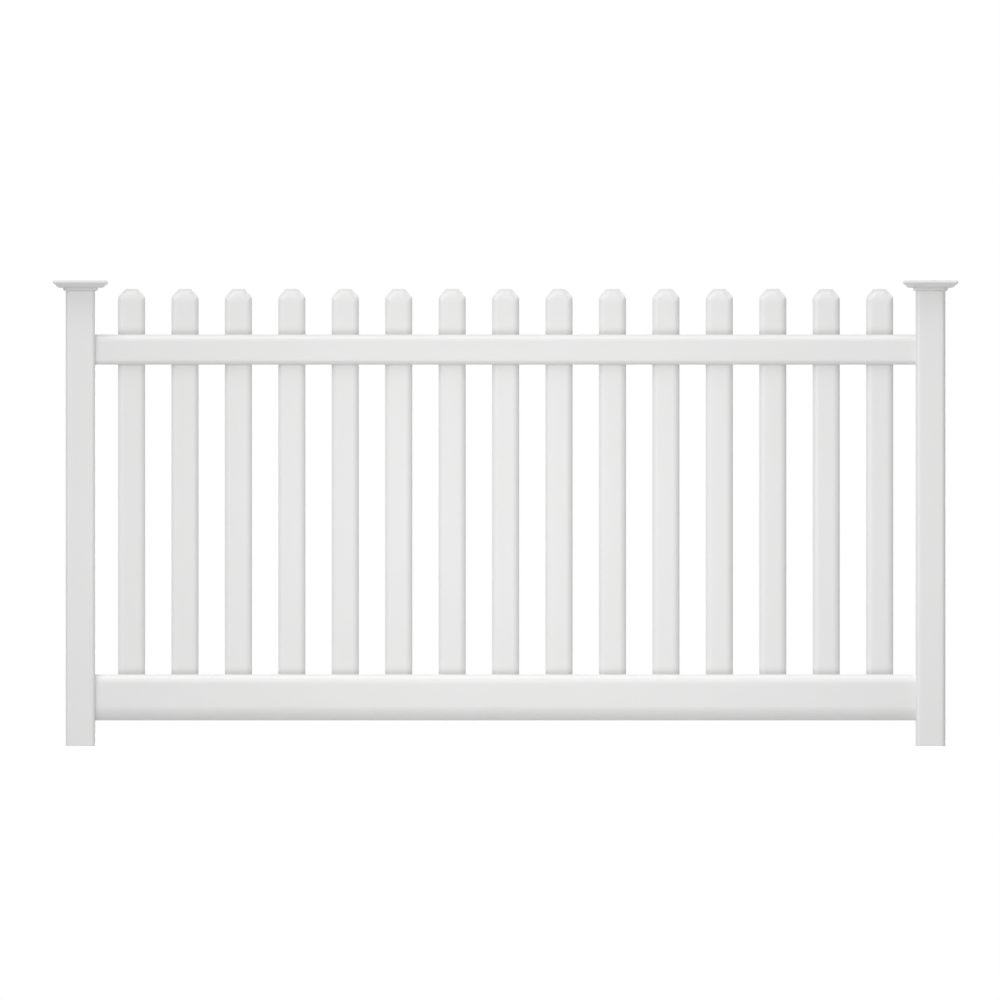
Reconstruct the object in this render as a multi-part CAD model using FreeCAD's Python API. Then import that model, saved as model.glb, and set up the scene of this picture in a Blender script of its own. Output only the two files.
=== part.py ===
import FreeCAD, Part
import math
import os

# White vinyl picket fence panel between two posts. Millimetres, +X along the
# panel from the left post to the right post, -Y towards the viewer, +Z up.
# The origin is the middle of the left post's foot.

# Layout
post_spacing = 2438.4
picket_count = 15
end_gap = 64.7
fit_gap = 0.3

# Posts
post_width = 85.0
post_wall = 3.5
post_corner = 12.5

# Rails. A shoulder is the rounding of an upper edge, a heel that of a lower one.
rail_depth = 50.8
rail_wall = 2.5
rail_into_post = 35.0
top_rail_height = 86.4
top_rail_drop = 131.1
top_rail_shoulder = 21.5
top_rail_heel = 14.5
top_rail_heel_depth = 7.0
bottom_rail_height = 131.7
bottom_rail_bottom = 73.7
bottom_rail_shoulder = 26.0
bottom_rail_heel = 41.0

# Pickets
picket_width = 77.8
picket_depth = 22.2
picket_wall = 1.8
picket_drop = 25.0
picket_edge = 18.0
picket_edge_depth = 9.6

# Moulded dog-ear picket caps
ear_height = 38.0
ear_wall = 2.0
ear_flat = 34.5
ear_drop = 23.8
ear_shoulder_corner = 24.0
ear_top_corner = 5.0
ear_rim = 7.5
ear_rim_depth = 7.8
ear_slope_depth = 7.6
ear_bevel = 10.5
ear_bevel_depth = 7.6
plug_length = 22.0
plug_wall = 2.0
plug_root = 4.0

# Moulded post caps
cap_top = 1336.7
cap_crown = 1.6
cap_roof = 3.0
cap_width = 157.4
cap_brim = 11.0
cap_corner = 7.0
ovolo_width = 143.0
ovolo_neck = 116.0
ovolo_height = 9.5
collar_width = 99.8
collar_height = 8.9
collar_corner = 16.0
collar_foot = 6.0

# What follows from those
rail_flat = picket_depth + 2 * fit_gap
shoulder_depth = (rail_depth - rail_flat) / 2
rail_start = post_width / 2 - rail_into_post
rail_length = post_spacing - 2 * rail_start
picket_top = cap_top - picket_drop
top_rail_bottom = picket_top - top_rail_drop - top_rail_height
picket_foot = bottom_rail_bottom + rail_wall
picket_seam = picket_top - ear_height
first_picket = (post_width + picket_width) / 2 + end_gap
picket_pitch = (post_spacing - 2 * first_picket) / (picket_count - 1)
brim_top = cap_top - cap_crown
brim_under = brim_top - cap_brim
ovolo_foot = brim_under - ovolo_height
cap_foot = ovolo_foot - collar_height
cap_ceiling = brim_top - cap_roof
cap_pocket = post_width + 2 * fit_gap
post_height = cap_ceiling - fit_gap
ear_lean = math.atan2(ear_drop, (picket_width - ear_flat) / 2)

ALONG_X = FreeCAD.Vector(1, 0, 0)
ALONG_Y = FreeCAD.Vector(0, 1, 0)
ALONG_Z = FreeCAD.Vector(0, 0, 1)
NEAR = 0.01


def face_of(edges):
    return Part.Face(Part.Wire(Part.__sortEdges__(edges)))


def arc_radius(depth, tall):
    """The radius of an arc that leaves a face tangentially and, tall further
    on, has come in by depth."""
    return (depth**2 + tall**2) / (2 * depth)


def section(width, low, high, low_edge, high_edge, inset, place):
    """A closed outline, the same to left and right, with arcs at its corners.

    low_edge and high_edge are the (depth, tall) of the arcs, or None for square
    corners. inset offsets the outline inwards. place makes (across, along) a
    point.
    """
    half = width / 2
    side = half - inset
    edges = []
    stretch = []
    for end, inward, edge in ((low, 1, low_edge), (high, -1, high_edge)):
        level = end + inward * inset
        if edge is None:
            stretch.append((side, level))
            edges.append(Part.makeLine(place(-side, level), place(side, level)))
            continue
        outer_radius = arc_radius(*edge)
        radius = outer_radius - inset
        centre = half - outer_radius
        start = end + inward * edge[1]
        turn = math.asin(min(1, (edge[1] - inset) / radius))
        for hand in (-1, 1):
            points = [
                place(
                    hand * (centre + radius * math.cos(angle)),
                    start - inward * radius * math.sin(angle),
                )
                for angle in (0, turn / 2, turn)
            ]
            edges.append(Part.Arc(*points).toShape())
        foot = centre + radius * math.cos(turn)
        edges.append(Part.makeLine(place(-foot, level), place(foot, level)))
        stretch.append((side, start))
    for hand in (-1, 1):
        ends = [place(hand * across, along) for across, along in stretch]
        edges.append(Part.makeLine(*ends))
    return face_of(edges)


def rail_bar(form, inset, start, length):
    """A rail's outer form, or its hollow when inset is the wall."""
    outline = section(
        rail_depth, *form, inset, lambda across, up: FreeCAD.Vector(start, across, up)
    )
    return outline.extrude(ALONG_X * length)


def picket_bar(inset, foot, head):
    """A picket's outer form, or its hollow when inset is the wall."""
    edge = (picket_edge_depth, picket_edge)
    outline = section(
        picket_depth,
        -picket_width / 2,
        picket_width / 2,
        edge,
        edge,
        inset,
        lambda deep, across: FreeCAD.Vector(across, deep, foot),
    )
    return outline.extrude(ALONG_Z * (head - foot))


def square_bar(width, corner, foot, head):
    """An upright square bar with rounded corners."""
    edge = (corner, corner)
    outline = section(
        width,
        -width / 2,
        width / 2,
        edge,
        edge,
        0,
        lambda across, deep: FreeCAD.Vector(across, deep, foot),
    )
    return outline.extrude(ALONG_Z * (head - foot))


rail_forms = {
    "top_rail": (
        top_rail_bottom,
        top_rail_bottom + top_rail_height,
        (top_rail_heel_depth, top_rail_heel),
        (shoulder_depth, top_rail_shoulder),
    ),
    "bottom_rail": (
        bottom_rail_bottom,
        bottom_rail_bottom + bottom_rail_height,
        (shoulder_depth, bottom_rail_heel),
        (shoulder_depth, bottom_rail_shoulder),
    ),
}


def make_post(inward):
    """A square tube with a routed hole for each rail in its inner face."""
    tube = square_bar(post_width, post_corner, 0, post_height)
    hollow_width = post_width - 2 * post_wall
    tube = tube.cut(square_bar(hollow_width, post_corner - post_wall, 0, post_height))
    reach = post_width / 2
    start = min(0, inward * reach)
    for form in rail_forms.values():
        tube = tube.cut(rail_bar(form, -fit_gap, start, reach))
    return tube


def make_rail(name):
    """A hollow rail: the top one is routed right through, the lower one on top."""
    form = rail_forms[name]
    low, high = form[:2]
    rail = rail_bar(form, 0, rail_start, rail_length)
    rail = rail.cut(rail_bar(form, rail_wall, rail_start, rail_length))
    if name == "bottom_rail":
        low += rail_wall
    slot = picket_bar(-fit_gap, low, high)
    slots = [moved(slot, place) for place in picket_places()]
    return rail.cut(Part.makeCompound(slots))


def make_picket():
    """A hollow picket from the lower rail's floor up to its cap."""
    outer = picket_bar(0, picket_foot, picket_seam)
    return outer.cut(picket_bar(picket_wall, picket_foot, picket_seam))


def eased_bar(across, lean, fall, inset, depth, edge):
    """A wide bar whose head lies fall below the dog-ear's top at across.

    edge is the (depth, tall) of the arcs that ease it inwards to front and
    back, or None for a square head. lean tips the bar sideways, for a cut
    corner.
    """
    size = 3 * picket_width
    outline = section(
        depth,
        -size,
        0,
        None,
        edge,
        inset,
        lambda deep, up: FreeCAD.Vector(-size, deep, up - fall),
    )
    bar = outline.extrude(ALONG_X * 2 * size)
    bar.rotate(FreeCAD.Vector(), ALONG_Y, math.degrees(lean))
    bar.translate(FreeCAD.Vector(across, 0, picket_top))
    return bar


def ear_form(inset):
    """The dog-ear's outer form, or its hollow when inset is the wall.

    An upright rim follows the top and the cut corners. Below it the faces
    slope out to the picket's.
    """
    slope = (ear_slope_depth, ear_height - ear_rim)
    bevel = (ear_bevel_depth, ear_bevel)
    form = eased_bar(0, 0, ear_rim, inset, picket_depth, slope)
    for hand in (-1, 1):
        corner = hand * ear_flat / 2
        lean = hand * ear_lean
        cut = eased_bar(corner, lean, ear_rim, inset, picket_depth, bevel)
        form = form.common(cut)
    form = form.fuse(eased_bar(0, 0, 0, inset, ear_rim_depth, None))
    form = form.common(picket_bar(inset, picket_seam, picket_top))
    return form.common(ear_outline(inset))


def ear_outline(inset):
    """The dog-ear seen from the front, with its corners rounded."""
    side = picket_width / 2 - inset
    shift = inset / math.cos(ear_lean)
    top = picket_top - inset
    flat = ear_flat / 2 - (shift - inset) / math.tan(ear_lean)
    shoulder = picket_top - ear_drop + inset * math.tan(ear_lean) - shift
    points = [
        FreeCAD.Vector(across, -picket_depth, level)
        for across, level in (
            (-side, picket_seam),
            (-side, shoulder),
            (-flat, top),
            (flat, top),
            (side, shoulder),
            (side, picket_seam),
        )
    ]
    block = Part.Face(Part.makePolygon(points + points[:1]))
    block = block.extrude(ALONG_Y * 2 * picket_depth)
    for level, radius in ((shoulder, ear_shoulder_corner), (top, ear_top_corner)):
        corners = [
            edge
            for edge in block.Edges
            if edge.BoundBox.YLength > picket_depth
            and abs(edge.BoundBox.ZMax - level) < NEAR
            and edge.BoundBox.ZLength < NEAR
        ]
        block = block.makeFillet(radius - inset, corners)
    return block


def make_picket_cap():
    """A hollow dog-ear cap with a plug that goes down inside the picket."""
    cap = ear_form(0).cut(ear_form(ear_wall))
    plug_foot = picket_seam - plug_length
    plug_head = picket_seam + plug_root
    plug_inset = picket_wall + fit_gap
    plug = picket_bar(ear_wall / 2, picket_seam, plug_head)
    plug = plug.fuse(picket_bar(plug_inset, plug_foot, picket_seam))
    plug = plug.cut(picket_bar(plug_inset + plug_wall, plug_foot, plug_head))
    return cap.fuse(plug).removeSplitter()


def brim_outline():
    """The post cap's moulding across its middle, above the collar."""
    nose = cap_brim / 2
    half_neck = ovolo_neck / 2
    half_ovolo = ovolo_width / 2
    swell = arc_radius(ovolo_height, half_ovolo - half_neck)
    turn = math.asin((half_ovolo - half_neck) / swell) / 2
    edges = []
    for hand in (-1, 1):
        curve = [
            FreeCAD.Vector(0, hand * half_neck, ovolo_foot),
            FreeCAD.Vector(
                0,
                hand * (half_neck + swell * math.sin(turn)),
                ovolo_foot + swell * (1 - math.cos(turn)),
            ),
            FreeCAD.Vector(0, hand * half_ovolo, brim_under),
        ]
        under = FreeCAD.Vector(0, hand * (cap_width / 2 - nose), brim_under)
        tip = FreeCAD.Vector(0, hand * cap_width / 2, brim_under + nose)
        over = FreeCAD.Vector(0, under.y, brim_top)
        edges.append(Part.Arc(*curve).toShape())
        edges.append(Part.makeLine(curve[-1], under))
        edges.append(Part.Arc(under, tip, over).toShape())
        edges.append(Part.makeLine(over, FreeCAD.Vector(0, 0, cap_top)))
    foot = FreeCAD.Vector(0, half_neck, ovolo_foot)
    edges.append(Part.makeLine(foot - ALONG_Y * ovolo_neck, foot))
    return face_of(edges)


def make_post_cap():
    """A moulded cap: crown, bullnosed brim, ovolo and a collar over the post."""
    one_way = brim_outline().extrude(ALONG_X * cap_width)
    one_way.translate(-ALONG_X * (cap_width / 2))
    other_way = one_way.copy()
    other_way.rotate(FreeCAD.Vector(), ALONG_Z, 90)
    cap = one_way.common(other_way)
    cap = cap.common(square_bar(cap_width, cap_corner, ovolo_foot, cap_top))
    collar = square_bar(collar_width, collar_corner, cap_foot, brim_under)
    rims = [edge for edge in collar.Edges if edge.BoundBox.ZMax < cap_foot + NEAR]
    cap = cap.fuse(collar.makeFillet(collar_foot, rims))
    cap = cap.cut(square_bar(cap_pocket, post_corner + fit_gap, cap_foot, cap_ceiling))
    return cap.removeSplitter()


def picket_places():
    return [first_picket + number * picket_pitch for number in range(picket_count)]


def moved(shape, along):
    copy = shape.copy()
    copy.translate(ALONG_X * along)
    return copy


def save(shape, node):
    shape.exportStep(os.path.join("parts", node + ".step"))
    print(node, round(shape.Volume / 1000, 1), "cm3", shape.isValid())


os.makedirs("parts", exist_ok=True)
post_cap = make_post_cap()
for side, place, inward in (("left", 0, 1), ("right", post_spacing, -1)):
    save(moved(make_post(inward), place), "post_" + side)
    save(moved(post_cap, place), "post_cap_" + side)
for rail_name in rail_forms:
    save(make_rail(rail_name), rail_name)
picket = make_picket()
picket_cap = make_picket_cap()
for number, place in enumerate(picket_places(), 1):
    save(moved(picket, place), "picket_%02d" % number)
    save(moved(picket_cap, place), "picket_cap_%02d" % number)
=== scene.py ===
import bpy
import bmesh
import math
from mathutils import Matrix, Vector


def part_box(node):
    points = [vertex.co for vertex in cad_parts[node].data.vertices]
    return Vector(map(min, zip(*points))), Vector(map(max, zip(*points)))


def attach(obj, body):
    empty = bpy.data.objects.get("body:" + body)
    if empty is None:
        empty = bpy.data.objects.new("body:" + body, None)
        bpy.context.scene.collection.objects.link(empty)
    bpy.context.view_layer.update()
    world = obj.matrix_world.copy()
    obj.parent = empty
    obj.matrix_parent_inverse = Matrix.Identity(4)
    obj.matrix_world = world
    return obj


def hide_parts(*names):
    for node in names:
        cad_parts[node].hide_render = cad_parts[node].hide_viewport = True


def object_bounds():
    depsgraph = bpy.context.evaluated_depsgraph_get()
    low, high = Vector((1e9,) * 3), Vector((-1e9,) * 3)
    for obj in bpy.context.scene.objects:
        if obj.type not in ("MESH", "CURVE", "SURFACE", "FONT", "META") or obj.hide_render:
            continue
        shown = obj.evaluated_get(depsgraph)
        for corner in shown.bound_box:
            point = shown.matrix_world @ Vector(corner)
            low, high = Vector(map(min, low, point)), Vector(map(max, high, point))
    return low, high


# White vinyl picket fence panel between two posts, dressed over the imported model.
# Every piece is drawn in millimetres and placed in metres: X runs along the panel,
# -Y faces the viewer and Z is up.

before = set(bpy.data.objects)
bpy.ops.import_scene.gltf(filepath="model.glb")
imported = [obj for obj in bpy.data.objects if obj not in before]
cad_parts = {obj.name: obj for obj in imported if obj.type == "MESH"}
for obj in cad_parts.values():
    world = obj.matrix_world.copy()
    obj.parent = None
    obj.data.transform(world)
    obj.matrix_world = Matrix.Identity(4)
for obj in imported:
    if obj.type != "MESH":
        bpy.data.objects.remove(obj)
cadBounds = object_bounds()
mm = 0.001
print("Frame loaded:", len(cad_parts), "nodes")


# Where a node lies, in millimetres
def boxOf(node):
    low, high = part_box(node)
    return low / mm, high / mm


def middleOf(node):
    low, high = boxOf(node)
    return (low.x + high.x) / 2


# Drawing tools. Outlines are drawn on the XY plane and pulled out along Z.
# An ease is how deep an edge rounds off and how far in from the edge that starts.

sharpFold = 34  # degrees; a fold above this is shaded sharp
sawnFold = 60  # a sawn end meets the sides at 90
creaseFold = 15  # where a rail's flat face meets its rounding
lengthShare = 0.9  # an edge counts as lengthwise when this share of it runs along Z


def arcRadius(depth, reach):
    return (depth ** 2 + reach ** 2) / (2 * depth)


# How far a face has come in where it is so far away from the edge
def comeIn(ease, away):
    depth, reach = ease
    radius = arcRadius(depth, reach)
    return radius - math.sqrt(radius ** 2 - max(0, reach - max(0, away)) ** 2)


def onlyVerts(drawn):
    return [item for item in drawn if isinstance(item, bmesh.types.BMVert)]


def drawLine(form, start, x, y):
    end = bmesh.ops.extrude_vert_indiv(form, verts=[start])["verts"][0]
    end.co = (x, y, 0)
    return end


def drawArc(form, start, centre, turn, steps):
    drawn = bmesh.ops.spin(form, geom=[start], cent=centre, axis=(0, 0, 1), angle=turn, steps=steps)
    return onlyVerts(drawn["geom_last"])[0]


# One closed outline: two straight sides that come in on an arc towards the low end, by
# lowEase, and towards the high end, by highEase. Returns its edges.
def drawOutline(form, wide, low, high, lowEase, highEase, inset=0, steps=12):
    side = wide / 2 - inset
    oldVerts = set(form.verts)
    oldEdges = set(form.edges)
    lowStart = form.verts.new((side, low + lowEase[1], 0))
    highStart = drawLine(form, lowStart, side, high - highEase[1])
    for start, ease, level, way in (
        (lowStart, lowEase, low + inset, -1),
        (highStart, highEase, high - inset, 1),
    ):
        radius = arcRadius(*ease) - inset
        turn = math.asin(min(1, (ease[1] - inset) / radius))
        corner = drawArc(form, start, (side - radius, start.co.y, 0), way * turn, steps)
        drawLine(form, corner, 0, level)
    half = [vert for vert in form.verts if vert not in oldVerts]
    half += [edge for edge in form.edges if edge not in oldEdges]
    bmesh.ops.mirror(form, geom=half, matrix=Matrix(), merge_dist=0.001, axis="X")
    return [edge for edge in form.edges if edge not in oldEdges]


def pullOut(form, length):
    pulled = bmesh.ops.extrude_face_region(form, geom=form.faces[:])
    bmesh.ops.translate(form, vec=(0, 0, length), verts=onlyVerts(pulled["geom"]))
    bmesh.ops.recalc_face_normals(form, faces=form.faces[:])


# Rounds the edges that fold by more than the angle; only those along Z, or only the others
def easeEdges(form, width, segments, fold, lengthwise):
    chosen = []
    for edge in form.edges:
        run = edge.verts[1].co - edge.verts[0].co
        along = abs(run.z) > lengthShare * run.length
        if along == lengthwise and edge.calc_face_angle(0) > math.radians(fold):
            chosen.append(edge)
    bmesh.ops.bevel(
        form,
        geom=chosen,
        offset=width,
        offset_type="OFFSET",
        segments=segments,
        profile=0.5,
        affect="EDGES",
        clamp_overlap=True,
        material=-1,
    )


# How the drawing plane is turned: as drawn for posts, across for pickets, upright for rails
turnOf = {
    "post": Matrix(),
    "picket": Matrix(((0, 1, 0, 0), (-1, 0, 0, 0), (0, 0, 1, 0), (0, 0, 0, 1))),
    "rail": Matrix(((0, 0, 1, 0), (1, 0, 0, 0), (0, 1, 0, 0), (0, 0, 0, 1))),
}


def placed(form, turn, x=0, y=0, z=0):
    place = Matrix.Scale(mm, 4) @ Matrix.Translation((x, y, z)) @ turnOf[turn]
    bmesh.ops.transform(form, matrix=place, verts=form.verts[:])


def addObject(name, data):
    made = bpy.data.objects.new(name, data)
    bpy.context.scene.collection.objects.link(made)
    return made


def makeObject(form, name):
    for face in form.faces:
        face.smooth = True
    mesh = bpy.data.meshes.new(name)
    form.to_mesh(mesh)
    form.free()
    return addObject(name, mesh)


# The same mesh again for another node, so many millimetres further along X
def copyAlong(piece, name, along):
    mesh = piece.data.copy()
    mesh.name = name
    mesh.transform(Matrix.Translation((along * mm, 0, 0)))
    return addObject(name, mesh)


# Routs the cutter's shape out of the piece; a routed edge stays sharp
def routOut(piece, cutter):
    routing = piece.modifiers.new("routing", "BOOLEAN")
    routing.solver = "EXACT"
    routing.operation = "DIFFERENCE"
    routing.object = cutter
    graph = bpy.context.evaluated_depsgraph_get()
    routed = bpy.data.meshes.new_from_object(piece.evaluated_get(graph))
    piece.modifiers.clear()
    piece.data = routed
    bpy.data.objects.remove(cutter)


def finishPiece(piece, node, material):
    piece.data.materials.clear()
    piece.data.materials.append(material)
    piece.data.set_sharp_from_angle(angle=math.radians(sharpFold))
    shading = piece.modifiers.new("flatFacesFirst", "WEIGHTED_NORMAL")
    shading.keep_sharp = True
    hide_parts(node)
    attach(piece, "root")


# Materials

noiseMiddle = (0.3, 0.7)  # nearly all of a noise lies between these two


def fromHex(code):
    channels = [int(code[start:start + 2], 16) / 255 for start in (0, 2, 4)]
    linear = [c / 12.92 if c <= 0.04045 else ((c + 0.055) / 1.055) ** 2.4 for c in channels]
    return (*linear, 1)


# Adds one node. A setting is one of the node's own options or the value of an input.
def addNode(tree, kind, settings=None, links=None):
    node = tree.nodes.new(kind)
    for name, value in (settings or {}).items():
        if isinstance(name, str) and hasattr(node, name):
            setattr(node, name, value)
        else:
            node.inputs[name].default_value = value
    for name, source in (links or {}).items():
        tree.links.new(source, node.inputs[name])
    return node


def newTree(name):
    material = bpy.data.materials.new(name)
    material.use_nodes = True
    material.node_tree.nodes.clear()
    return material, material.node_tree


# The colour of either PVC: a white that drifts a little towards a second one
def driftingWhite(tree, look, place):
    drift = addNode(
        tree,
        "ShaderNodeTexNoise",
        {"Scale": 1 / (look["driftLength"] * mm), "Detail": 2.0},
        {"Vector": place},
    )
    white = addNode(
        tree,
        "ShaderNodeMix",
        {"data_type": "RGBA", 6: fromHex(look["white"]), 7: fromHex(look["whiteDrift"])},
        {0: drift.outputs["Fac"]},
    )
    return white.outputs[2]


# The skin of either PVC: a gloss that follows the shine noise, and a relief of several
# noises, each with its depth in millimetres
def dressInPvc(tree, look, colour, shine, relief):
    gloss = addNode(
        tree,
        "ShaderNodeMapRange",
        {
            "From Min": noiseMiddle[0],
            "From Max": noiseMiddle[1],
            "To Min": look["glossiest"],
            "To Max": look["dullest"],
        },
        {"Value": shine.outputs["Fac"]},
    )
    under = {}
    for noise, depth in relief:
        bump = addNode(
            tree,
            "ShaderNodeBump",
            {"Strength": 1.0, "Distance": depth * mm},
            {"Height": noise.outputs["Fac"], **under},
        )
        under = {"Normal": bump.outputs["Normal"]}
    surface = addNode(
        tree,
        "ShaderNodeBsdfPrincipled",
        {"IOR": look["ior"]},
        {"Base Color": colour, "Roughness": gloss.outputs["Result"], **under},
    )
    addNode(tree, "ShaderNodeOutputMaterial", None, {"Surface": surface.outputs["BSDF"]})


# Rigid PVC pushed through a die and cooled in a sizing tank: a bright even white with a
# satin gloss, faint die lines along its length and a slow waviness in the surface
extrudedPvc = {
    "white": "ECECEC",
    "whiteDrift": "EAEAE9",
    "driftLength": 420.0,
    "ior": 1.53,
    "glossiest": 0.34,
    "dullest": 0.44,
    "dieLineSpacing": 9.0,  # real ones are nearer 2 mm; these are coarse enough to show
    "dieLineLength": 2600.0,
    "dieLineDepth": 0.035,
    "waveLength": 160.0,
    "waveDepth": 0.03,
    # The colour of the painted shade: a contact shadow painted on the pickets just above each rail
    "paintedShadeColour": "CCCCCA",
    "paintedShadeReach": 1500.0,  # the height above the ground that the painted shade's ramp covers
    # Millimetres above a rail's top, and the share of painted shade there
    "paintedShadeLine": ((-40, 0), (-30, 1), (3, 1), (8, 0.7), (13, 0.35), (18, 0.1), (24, 0)),
}


# Painted shade on a picket just above where it stands in a rail: a contact shadow painted into its
# colour, darkest at the joint and fading upwards
def addPaintedShade(tree, place, colour, railTops):
    look = extrudedPvc
    reach = look["paintedShadeReach"]
    stops = [((top + rise) / reach, part) for top in railTops for rise, part in look["paintedShadeLine"]]
    height = addNode(tree, "ShaderNodeSeparateXYZ", None, {"Vector": place})
    along = addNode(
        tree, "ShaderNodeMapRange", {"From Max": reach * mm}, {"Value": height.outputs["Z"]}
    )
    share = addNode(tree, "ShaderNodeValToRGB", None, {"Fac": along.outputs["Result"]})
    marks = share.color_ramp.elements
    while len(marks) < len(stops):
        marks.new(0.5)
    for mark, (position, part) in zip(marks, stops):
        mark.position = position
        mark.color = (part, part, part, 1)
    paintedShadeMix = addNode(
        tree,
        "ShaderNodeMix",
        {"data_type": "RGBA", 7: fromHex(look["paintedShadeColour"])},
        {0: share.outputs["Color"], 6: colour},
    )
    return paintedShadeMix.outputs[2]


def makeExtrudedPvc(name, lengthAxis, railTops=()):
    look = extrudedPvc
    material, tree = newTree(name)
    place = addNode(tree, "ShaderNodeTexCoord").outputs["Object"]
    stretch = [1 / (look["dieLineSpacing"] * mm)] * 3
    stretch[lengthAxis] = 1 / (look["dieLineLength"] * mm)
    streaks = addNode(tree, "ShaderNodeMapping", {"Scale": stretch}, {"Vector": place})
    dieLines = addNode(
        tree,
        "ShaderNodeTexNoise",
        {"Scale": 1.0, "Detail": 2.0, "Roughness": 0.55},
        {"Vector": streaks.outputs["Vector"]},
    )
    waves = addNode(
        tree,
        "ShaderNodeTexNoise",
        {"Scale": 1 / (look["waveLength"] * mm), "Detail": 1.0},
        {"Vector": place},
    )
    colour = driftingWhite(tree, look, place)
    # Painted shade on the pickets just above the rails
    if railTops:
        colour = addPaintedShade(tree, place, colour, railTops)
    relief = ((dieLines, look["dieLineDepth"]), (waves, look["waveDepth"]))
    dressInPvc(tree, look, colour, dieLines, relief)
    return material


# PVC injected into a mould: the same white a little duller, with the fine even orange
# peel of a spark-eroded mould all over and no grain direction
mouldedPvc = {
    "white": "EDEDED",
    "whiteDrift": "EBEBEA",
    "driftLength": 60.0,
    "ior": 1.53,
    "glossiest": 0.38,
    "dullest": 0.48,
    "peelSpacing": 2.4,
    "peelDepth": 0.03,
    "flowLength": 35.0,
    "flowDepth": 0.05,
}


def makeMouldedPvc(name):
    look = mouldedPvc
    material, tree = newTree(name)
    place = addNode(tree, "ShaderNodeTexCoord").outputs["Object"]
    peel = addNode(
        tree,
        "ShaderNodeTexNoise",
        {"Scale": 1 / (look["peelSpacing"] * mm), "Detail": 3.0, "Roughness": 0.6},
        {"Vector": place},
    )
    flow = addNode(
        tree,
        "ShaderNodeTexNoise",
        {"Scale": 1 / (look["flowLength"] * mm), "Detail": 1.0},
        {"Vector": place},
    )
    colour = driftingWhite(tree, look, place)
    relief = ((peel, look["peelDepth"]), (flow, look["flowDepth"]))
    dressInPvc(tree, look, colour, flow, relief)
    return material


# The number is the axis that the die lines run along: 0 for X and 2 for Z
railTops = [boxOf(node)[1].z for node in ("bottom_rail", "top_rail")]
# The pickets' material carries painted shade just above these rail tops
picketPvc =makeExtrudedPvc("extrudedPvcPicket", 2, railTops)
postPvc = makeExtrudedPvc("extrudedPvcPost", 2)
railPvc = makeExtrudedPvc("extrudedPvcRail", 0)
capPvc = makeMouldedPvc("mouldedPvc")
print("Materials ready")


# Pickets: flat hollow bars with rounded edges

picket = {
    "count": 15,
    "wall": 1.8,
    "ease": (9.6, 18.0),
    "sawnEdge": 0.3,
}


def picketOutline(form, inset):
    low, high = boxOf("picket_01")
    half = (high.x - low.x) / 2
    return drawOutline(form, high.y - low.y, -half, half, picket["ease"], picket["ease"], inset)


firstMiddle = middleOf("picket_01")

# How far each other picket stands along X from the first, by its number
otherPickets = {}
for count in range(2, picket["count"] + 1):
    number = "%02d" % count
    otherPickets[number] = middleOf("picket_" + number) - firstMiddle


# Copies the first piece of a row for every other picket, and finishes them all
def finishRow(first, name, node, material):
    for number, along in otherPickets.items():
        finishPiece(copyAlong(first, name + number, along), node + number, material)
    finishPiece(first, node + "01", material)


low, high = boxOf("picket_01")
form = bmesh.new()
edges = picketOutline(form, 0) + picketOutline(form, picket["wall"])
bmesh.ops.bridge_loops(form, edges=edges)
pullOut(form, high.z - low.z)
easeEdges(form, picket["sawnEdge"], segments=2, fold=sawnFold, lengthwise=False)
placed(form, "picket", firstMiddle, 0, low.z)
finishRow(makeObject(form, "picket01"), "picket", "picket_", picketPvc)
print("Pickets made")


# Picket caps: dog-eared tops with a plug that sits down inside the picket. An upright rim
# follows the top and the cut corners; a bevel and a long slope lead from it to the face.

picketCap = {
    "tall": 38.0,
    "flat": 34.5,  # the level stretch of the top, between the cut corners
    "drop": 23.8,  # how far down the cuts reach
    "topCorner": 5.0,
    "shoulderCorner": 24.0,
    "rim": 7.5,
    "bevel": (3.6, 7.5),  # its depth and its reach, like the slope's
    "slope": (3.6, 23.0),
    "lip": 1.0,  # how far the outer edge rounds off
    "blend": 1.0,  # how softly two faces meet
    "plugGap": 0.3,
    "plugTuck": 1.0,  # how far the plug runs up into the cap
    "columns": 44,
    "rows": 26,
    "rowCrowding": 1.8,  # above 1 the rows crowd towards the top
}


# How far the bevel below the rim has come in, at a distance from the outline
def bevelIn(away):
    depth, reach = picketCap["bevel"]
    return depth * min(1, max(0, 1 - (away - picketCap["rim"]) / reach))


# The greater of two, with a soft ridge where two eased faces meet
def softMax(first, second, blend):
    near = max(0, blend - abs(first - second)) / blend
    return max(first, second) + near ** 2 * blend / 4


# The dog-ear's half width at a fall below its top, and how far a point of it lies from the
# cut corner's line and from the nearest rounded rim
def dogEar(halfWide):
    flat = picketCap["flat"] / 2
    drop = picketCap["drop"]
    turn = math.atan2(drop, halfWide - flat)
    cutLength = math.hypot(drop, halfWide - flat)
    topRadius = picketCap["topCorner"]
    sideRadius = picketCap["shoulderCorner"]
    topTrim = topRadius * math.tan(turn / 2)
    sideTrim = sideRadius * math.tan((math.pi / 2 - turn) / 2)

    def halfWidthAt(fall):
        if fall < topTrim * math.sin(turn):
            return flat - topTrim + math.sqrt(topRadius ** 2 - (topRadius - fall) ** 2)
        if fall < drop - sideTrim * math.sin(turn):
            return flat + fall / math.tan(turn)
        if fall < drop + sideTrim:
            rise = drop + sideTrim - fall
            return halfWide - sideRadius + math.sqrt(sideRadius ** 2 - rise ** 2)
        return halfWide

    def distances(across, fall):
        fromCut = fall * math.cos(turn) - (across - flat) * math.sin(turn)
        alongCut = fall * math.sin(turn) + (across - flat) * math.cos(turn)
        fromRim = min(fall, fromCut)
        if across > flat - topTrim and alongCut < topTrim:
            fromRim = topRadius - math.hypot(across - flat + topTrim, fall - topRadius)
        elif alongCut > cutLength - sideTrim and fall < drop + sideTrim:
            reach = math.hypot(across - halfWide + sideRadius, fall - drop - sideTrim)
            fromRim = sideRadius - reach
        return fromCut, max(0, fromRim)

    return halfWidthAt, distances


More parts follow.
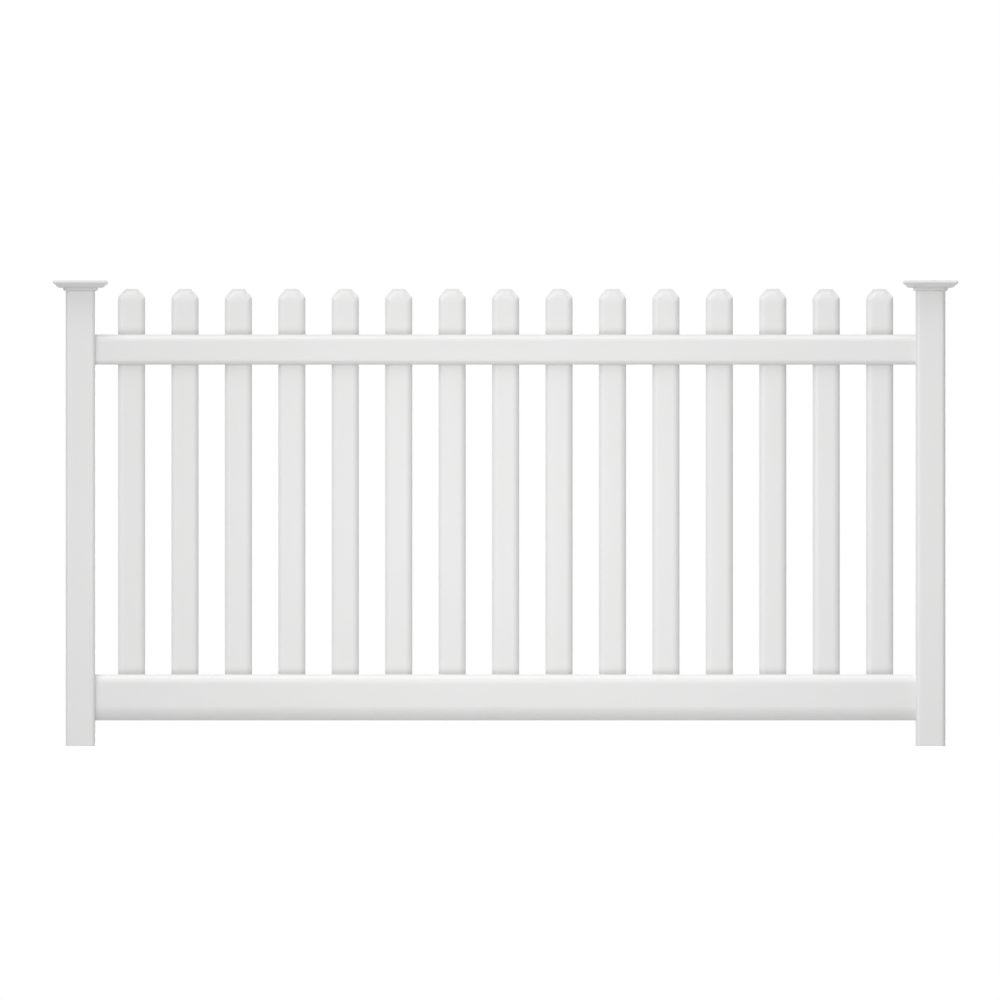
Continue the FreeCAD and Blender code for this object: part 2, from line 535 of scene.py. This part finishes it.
low, high = boxOf("picket_cap_01")
halfWide = (high.x - low.x) / 2
halfDeep = (high.y - low.y) / 2
seam = high.z - picketCap["tall"]
halfWidthAt, distances = dogEar(halfWide)
form = bmesh.new()
bmesh.ops.create_grid(form, x_segments=picketCap["columns"], y_segments=picketCap["rows"], size=1)
for vert in form.verts:
    fall = picketCap["tall"] * ((1 - vert.co.y) / 2) ** picketCap["rowCrowding"]
    across = halfWidthAt(fall) * math.sin(vert.co.x * math.pi / 2)
    fromCut, fromRim = distances(abs(across), fall)
    slope = comeIn(picketCap["slope"], fall - picketCap["rim"] - picketCap["bevel"][1])
    bevel = softMax(bevelIn(fall), bevelIn(fromCut), picketCap["blend"])
    lip = comeIn((picketCap["lip"], picketCap["lip"]), fromRim)
    side = comeIn(picket["ease"], halfWide - abs(across))
    depth = softMax(side, slope + bevel + lip, picketCap["blend"])
    vert.co = (across, depth - halfDeep, high.z - fall)
bmesh.ops.mirror(form, geom=form.verts[:] + form.edges[:] + form.faces[:], merge_dist=0, axis="Y")
rims = [edge for edge in form.edges if edge.is_boundary]
bmesh.ops.bridge_loops(form, edges=rims)
bmesh.ops.recalc_face_normals(form, faces=form.faces[:])
bmesh.ops.translate(form, vec=(firstMiddle, 0, 0), verts=form.verts[:])
bmesh.ops.scale(form, vec=(mm, mm, mm), verts=form.verts[:])
plug = bmesh.new()
edges = picketOutline(plug, picket["wall"] + picketCap["plugGap"])
bmesh.ops.edgeloop_fill(plug, edges=edges)
pullOut(plug, seam + picketCap["plugTuck"] - low.z)
placed(plug, "picket", firstMiddle, 0, low.z)
plugMesh = bpy.data.meshes.new("plug")
plug.to_mesh(plugMesh)
plug.free()
form.from_mesh(plugMesh)
bpy.data.meshes.remove(plugMesh)
finishRow(makeObject(form, "picketCap01"), "picketCap", "picket_cap_", capPvc)
print("Picket caps made")


# Rails: hollow bars, routed for the pickets: the top one right through, the bottom one in
# its upper face alone. Heel and shoulder are the eases of the lower and the upper edges.

rail = {
    "wall": 2.5,
    "routingGap": 0.3,
    "routingPast": 1.0,  # how far a cutter passes the face that it leaves
    "crease": 1.2,
    "topRail": {"heel": (7.0, 14.5), "shoulder": (14.0, 21.5), "through": True},
    "bottomRail": {"heel": (14.0, 41.0), "shoulder": (14.0, 26.0), "through": False},
}
railNodes = {"topRail": "top_rail", "bottomRail": "bottom_rail"}


def railOutline(form, name, inset):
    low, high = boxOf(railNodes[name])
    heel = rail[name]["heel"]
    shoulder = rail[name]["shoulder"]
    return drawOutline(form, high.y - low.y, low.z, high.z, heel, shoulder, inset, steps=16)


# The cutter for all the picket slots of one rail
def picketSlots(foot, head):
    slots = bmesh.new()
    outline = picketOutline(slots, -rail["routingGap"])
    bmesh.ops.edgeloop_fill(slots, edges=outline)
    pullOut(slots, head - foot)
    placed(slots, "picket", firstMiddle, 0, foot)
    first = slots.verts[:] + slots.edges[:] + slots.faces[:]
    for along in otherPickets.values():
        again = bmesh.ops.duplicate(slots, geom=first)
        bmesh.ops.translate(slots, vec=(along * mm, 0, 0), verts=onlyVerts(again["geom"]))
    return makeObject(slots, "picketSlots")


for name, node in railNodes.items():
    low, high = boxOf(node)
    form = bmesh.new()
    edges = railOutline(form, name, 0) + railOutline(form, name, rail["wall"])
    bmesh.ops.bridge_loops(form, edges=edges)
    pullOut(form, high.x - low.x)
    easeEdges(form, rail["crease"], segments=3, fold=creaseFold, lengthwise=True)
    placed(form, "rail", low.x)
    piece = makeObject(form, name)
    foot = low.z - rail["routingPast"] if rail[name]["through"] else (low.z + high.z) / 2
    routOut(piece, picketSlots(foot, high.z + rail["routingPast"]))
    finishPiece(piece, node, railPvc)
print("Rails made")


# Posts: square tubes, routed on the inner face for the rails

post = {
    "wall": 3.5,
    "corner": 12.5,
    "cornerSteps": 10,
    "sawnEdge": 0.5,
}


def squareOutline(form, wide, corner, level=0):
    oldVerts = set(form.verts)
    ease = (corner, corner)
    edges = drawOutline(form, wide, -wide / 2, wide / 2, ease, ease, steps=post["cornerSteps"])
    drawn = [vert for vert in form.verts if vert not in oldVerts]
    bmesh.ops.translate(form, vec=(0, 0, level), verts=drawn)
    return edges


for name, node, inward in (("postLeft", "post_left", 1), ("postRight", "post_right", -1)):
    low, high = boxOf(node)
    wide = high.x - low.x
    middle = middleOf(node)
    form = bmesh.new()
    edges = squareOutline(form, wide, post["corner"])
    edges += squareOutline(form, wide - 2 * post["wall"], post["corner"] - post["wall"])
    bmesh.ops.bridge_loops(form, edges=edges)
    pullOut(form, high.z - low.z)
    easeEdges(form, post["sawnEdge"], segments=2, fold=sawnFold, lengthwise=False)
    placed(form, "post", middle, 0, low.z)
    piece = makeObject(form, name)
    holes = bmesh.new()
    for railName in railNodes:
        outline = railOutline(holes, railName, -rail["routingGap"])
        bmesh.ops.edgeloop_fill(holes, edges=outline)
    pullOut(holes, wide)
    placed(holes, "rail", middle if inward > 0 else middle - wide)
    routOut(piece, makeObject(holes, "railHoles"))
    finishPiece(piece, node, postPvc)
print("Posts made")


# Post caps: crown, bullnosed brim, ovolo and a collar that sits over the post

postCap = {
    "brim": 11.0,
    "noseRise": 3.6,  # how far the brim's top stands above the tip of its nose
    "noseSteps": 12,
    "crown": 1.6,
    "corner": 7.0,
    "ovoloWide": 143.0,
    "ovoloTall": 9.5,
    "ovoloCorner": 2.0,
    "ovoloSteps": 10,
    "neckWide": 116.0,
    "collarWide": 99.8,
    "collarCorner": 16.0,
    "collarFoot": 6.0,
    "collarSteps": 8,
    "pocketGap": 0.3,
    "roof": 3.0,
    "mouldedEdge": 0.6,
}


# The loops of a post cap from the crown's foot round to the pocket's ceiling, each as its
# width, its corner radius and its level
def postCapLoops(wide, foot, top, postWide):
    brimTop = top - postCap["crown"]
    nose = postCap["brim"] / 2
    noseSteps = postCap["noseSteps"]
    loops = []
    for step in range(noseSteps + 1):
        angle = math.pi * step / noseSteps
        out = nose * math.sin(angle)
        corner = postCap["corner"] - nose + out
        upper = step < noseSteps / 2
        tall = postCap["noseRise"] if upper else postCap["brim"] - postCap["noseRise"]
        level = brimTop - postCap["noseRise"] + tall * math.cos(angle)
        loops.append((wide - 2 * nose + 2 * out, corner, level))
    neckWide = postCap["neckWide"]
    overhang = (postCap["ovoloWide"] - neckWide) / 2
    swell = arcRadius(postCap["ovoloTall"], overhang)
    furthest = math.asin(overhang / swell)
    neckLevel = brimTop - postCap["brim"] - postCap["ovoloTall"]
    for step in range(postCap["ovoloSteps"] + 1):
        angle = furthest * (1 - step / postCap["ovoloSteps"])
        level = neckLevel + swell * (1 - math.cos(angle))
        loops.append((neckWide + 2 * swell * math.sin(angle), postCap["ovoloCorner"], level))
    collarWide = postCap["collarWide"]
    collarCorner = postCap["collarCorner"]
    loops.append((collarWide, collarCorner, neckLevel))
    footRound = postCap["collarFoot"]
    for step in range(postCap["collarSteps"] + 1):
        angle = math.pi / 2 * step / postCap["collarSteps"]
        inside = footRound * (1 - math.cos(angle))
        level = foot + footRound * (1 - math.sin(angle))
        loops.append((collarWide - 2 * inside, collarCorner - inside, level))
    edge = postCap["mouldedEdge"]
    pocket = postWide + 2 * postCap["pocketGap"]
    pocketCorner = post["corner"] + postCap["pocketGap"]
    loops.append((pocket + edge, pocketCorner + edge / 2, foot))
    loops.append((pocket, pocketCorner, foot + edge / 2))
    loops.append((pocket, pocketCorner, brimTop - postCap["roof"]))
    return loops


for name, node, carrier in (
    ("postCapLeft", "post_cap_left", "post_left"),
    ("postCapRight", "post_cap_right", "post_right"),
):
    low, high = boxOf(node)
    postLow, postHigh = boxOf(carrier)
    form = bmesh.new()
    loops = postCapLoops(high.x - low.x, low.z, high.z, postHigh.x - postLow.x)
    drawn = [squareOutline(form, wide, corner, level) for wide, corner, level in loops]
    for upper, lower in zip(drawn, drawn[1:]):
        bmesh.ops.bridge_loops(form, edges=upper + lower)
    bmesh.ops.edgeloop_fill(form, edges=drawn[-1])
    crown = bmesh.ops.edgeloop_fill(form, edges=drawn[0])["faces"]
    peak = bmesh.ops.poke(form, faces=crown)["verts"][0]
    peak.co.z = high.z
    bmesh.ops.recalc_face_normals(form, faces=form.faces[:])
    placed(form, "post", middleOf(node))
    piece = makeObject(form, name)
    finishPiece(piece, node, capPvc)
print("Post caps made")


# Studio: a pale floor, a broad soft key from the front and left, a smaller lamp above it,
# a faint panel in front of the middle and a lamp that reaches only the back and one side.
# Lengths are in metres and angles in degrees.

studio = {
    "distance": 90.0,
    "viewWide": 2.869,
    "viewMiddle": (1.2031, 0.7058),
    "sensor": 36.0,
    "clip": (0.1, 200.0),
    "ambient": 0.41,
    "floorShade": 0.46,
    "floorGlow": 0.66,
    "floorSize": 4.0,
    "floorDrop": 0.0002,  # keeps the floor clear of the posts' feet
    "key": {"strength": 0.88, "elevation": 21, "left": 27, "softness": 60},
    "top": {"strength": 0.87, "elevation": 68, "left": 22, "softness": 25},
    "back": {"strength": 1.5, "elevation": 10, "left": 204, "softness": 15},
    "panel": {"power": 9.4, "distance": 2.2, "wide": 1.6, "tall": 1.0},
}
viewX, viewZ = studio["viewMiddle"]
panelMiddle = (cadBounds[0].x + cadBounds[1].x) / 2
white = (1, 1, 1, 1)


# A camera ray, and a ray that a gloss or glass sends back, see the plain white backdrop
def seenRays(tree):
    path = addNode(tree, "ShaderNodeLightPath")
    seen = path.outputs["Is Camera Ray"]
    for name in ("Is Glossy Ray", "Is Transmission Ray"):
        either = addNode(
            tree, "ShaderNodeMath", {"operation": "MAXIMUM"}, {0: seen, 1: path.outputs[name]}
        )
        seen = either.outputs["Value"]
    return seen


world = bpy.data.worlds.new("studio")
bpy.context.scene.world = world
world.use_nodes = True
tree = world.node_tree
tree.nodes.clear()
level = addNode(
    tree,
    "ShaderNodeMapRange",
    {"To Min": studio["ambient"], "To Max": 1.0},
    {"Value": seenRays(tree)},
)
backdrop = addNode(
    tree, "ShaderNodeBackground", {"Color": white}, {"Strength": level.outputs["Result"]}
)
addNode(tree, "ShaderNodeOutputWorld", None, {"Surface": backdrop.outputs["Background"]})

# Pale matt floor: its glow is only seen, and lights nothing
material, tree = newTree("studioFloor")
pale = studio["floorShade"]
matt = addNode(tree, "ShaderNodeBsdfDiffuse", {"Color": (pale, pale, pale, 1)})
glowLevel = addNode(
    tree,
    "ShaderNodeMapRange",
    {"To Min": 0.0, "To Max": studio["floorGlow"]},
    {"Value": seenRays(tree)},
)
glow = addNode(
    tree, "ShaderNodeEmission", {"Color": white}, {"Strength": glowLevel.outputs["Result"]}
)
both = addNode(
    tree, "ShaderNodeAddShader", None, {0: matt.outputs["BSDF"], 1: glow.outputs["Emission"]}
)
addNode(tree, "ShaderNodeOutputMaterial", None, {"Surface": both.outputs["Shader"]})
form = bmesh.new()
bmesh.ops.create_grid(form, x_segments=1, y_segments=1, size=studio["floorSize"])
bmesh.ops.translate(form, vec=(panelMiddle, 0, -studio["floorDrop"]), verts=form.verts[:])
floor = makeObject(form, "floor")
floor.data.materials.append(material)


def addLamp(name, kind, toLamp, settings):
    lamp = bpy.data.lights.new(name, kind)
    for option, value in settings.items():
        setattr(lamp, option, value)
    made = addObject(name, lamp)
    made.rotation_mode = "QUATERNION"
    made.rotation_quaternion = toLamp.to_track_quat("Z", "Y")
    return made


for name in ("key", "top", "back"):
    lamp = studio[name]
    up = math.radians(lamp["elevation"])
    left = math.radians(lamp["left"])
    toLamp = Vector((-math.sin(left) * math.cos(up), -math.cos(left) * math.cos(up), math.sin(up)))
    softness = math.radians(lamp["softness"])
    addLamp(name, "SUN", toLamp, {"energy": lamp["strength"], "angle": softness})
panel = studio["panel"]
shape = {"shape": "RECTANGLE", "size": panel["wide"], "size_y": panel["tall"]}
panelLamp = addLamp("panel", "AREA", Vector((0, -1, 0)), {"energy": panel["power"], **shape})
panelLamp.location = (panelMiddle, -panel["distance"], viewZ)
panelLamp.visible_camera = False

camera = bpy.data.cameras.new("camera")
camera.sensor_width = studio["sensor"]
camera.lens = studio["sensor"] * studio["distance"] / studio["viewWide"]
camera.clip_start, camera.clip_end = studio["clip"]
cameraObject = addObject("camera", camera)
cameraObject.location = (viewX, -studio["distance"], viewZ)
cameraObject.rotation_euler = (math.pi / 2, 0, 0)
bpy.context.scene.camera = cameraObject
bpy.context.scene.view_settings.view_transform = "Standard"
print("Studio ready")
